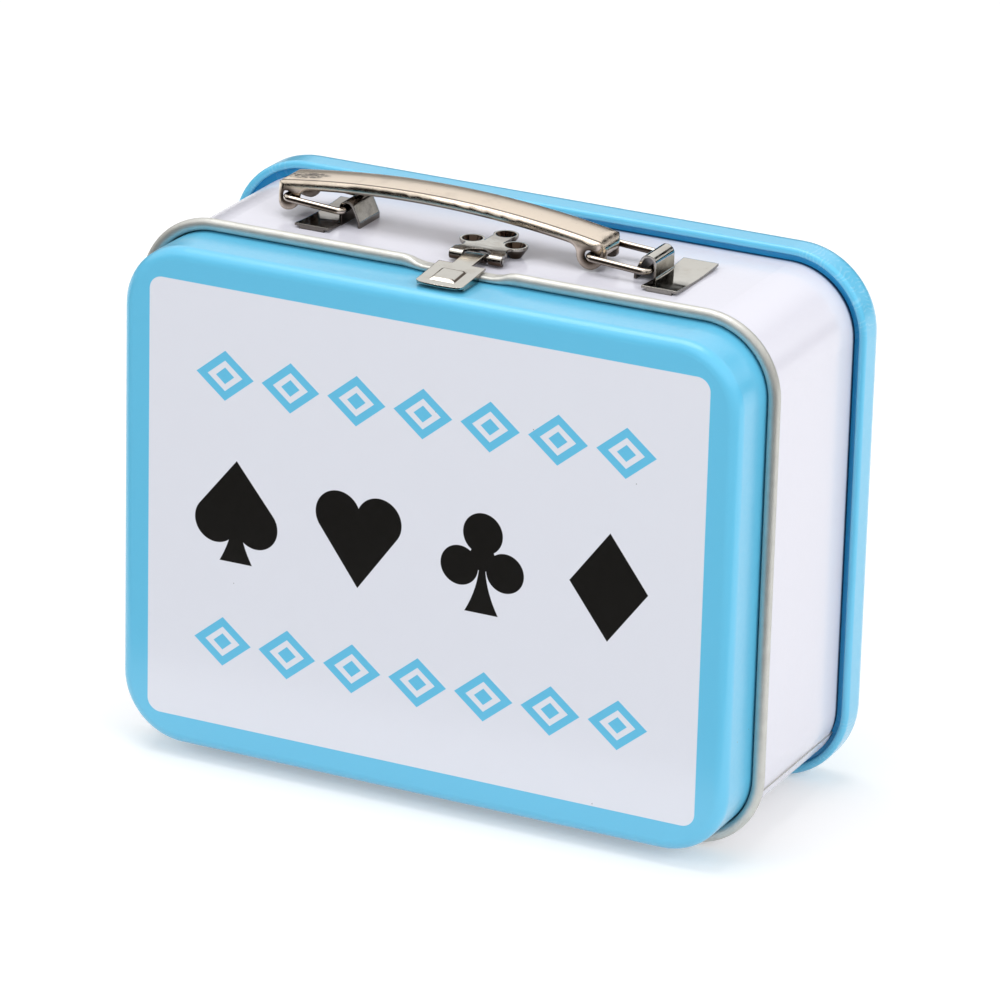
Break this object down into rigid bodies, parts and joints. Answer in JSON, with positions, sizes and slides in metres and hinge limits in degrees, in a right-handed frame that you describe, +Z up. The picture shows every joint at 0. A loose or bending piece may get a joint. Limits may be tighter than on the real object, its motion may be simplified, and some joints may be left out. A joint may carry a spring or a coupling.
{
  "type": "hinged tin box",
  "caption": "Small sheet-metal tin in suitcase form with a front lid hinged along its lower edge, a snap latch and a swinging metal handle.",
  "frame": {"origin": "centre of the closed tin's bounding box at floor level, standing on its lower edge", "axes": "+X to the right seen from the lid, +Y from the lid to the back, +Z up"},
  "size_m": [0.15, 0.065, 0.1266],
  "materials": {
    "enamel_white": "gloss enamel",
    "enamel_blue": "satin enamel",
    "nickel_plate": "polished nickel plate",
    "steel_wire": "plain drawn wire"
  },
  "bodies": {
    "tin": {"body_band": "enamel_white", "back_cover": "enamel_blue", "hinge_pin_left": "steel_wire", "hinge_pin_right": "steel_wire", "handle_bracket_left": "nickel_plate", "handle_bracket_right": "nickel_plate", "latch_base": "nickel_plate", "latch_rivets": "steel_wire", "latch_pin": "steel_wire"},
    "lid": {"front_lid": "enamel_blue"},
    "latch": {"latch_flap": "nickel_plate"},
    "link_left": {"handle_link_left": "nickel_plate"},
    "link_right": {"handle_link_right": "nickel_plate"},
    "grip": {"handle_grip": "nickel_plate"}
  },
  "joints": [
    {"name": "lid_hinge", "type": "hinge", "parent": "tin", "child": "lid", "pos_m": [0, -0.0187, 0.00165], "axis": [1, 0, 0], "range_deg": [0, 110]},
    {"name": "latch_hinge", "type": "hinge", "parent": "tin", "child": "latch", "pos_m": [0.001, -0.011, 0.1174], "axis": [-1, 0, 0], "range_deg": [0, 100]},
    {"name": "link_swing", "type": "hinge", "parent": "tin", "child": "link_left", "pos_m": [-0.03409, 0.0015, 0.11965], "axis": [0, 1, 0], "range_deg": [0, 172]},
    {"name": "grip_hinge", "type": "hinge", "parent": "link_left", "child": "grip", "pos_m": [-0.04766, 0.0015, 0.1206], "axis": [0, 1, 0], "range_deg": [-172, 0]},
    {"name": "link_right_swing", "type": "hinge", "parent": "tin", "child": "link_right", "pos_m": [0.03689, 0.0015, 0.11835], "axis": [0, 1, 0], "range_deg": [0, 172]}
  ],
  "couplings": [
    {"joint": "grip_hinge", "follows": "link_swing", "ratio": -1},
    {"joint": "link_right_swing", "follows": "link_swing", "ratio": 1}
  ]
}
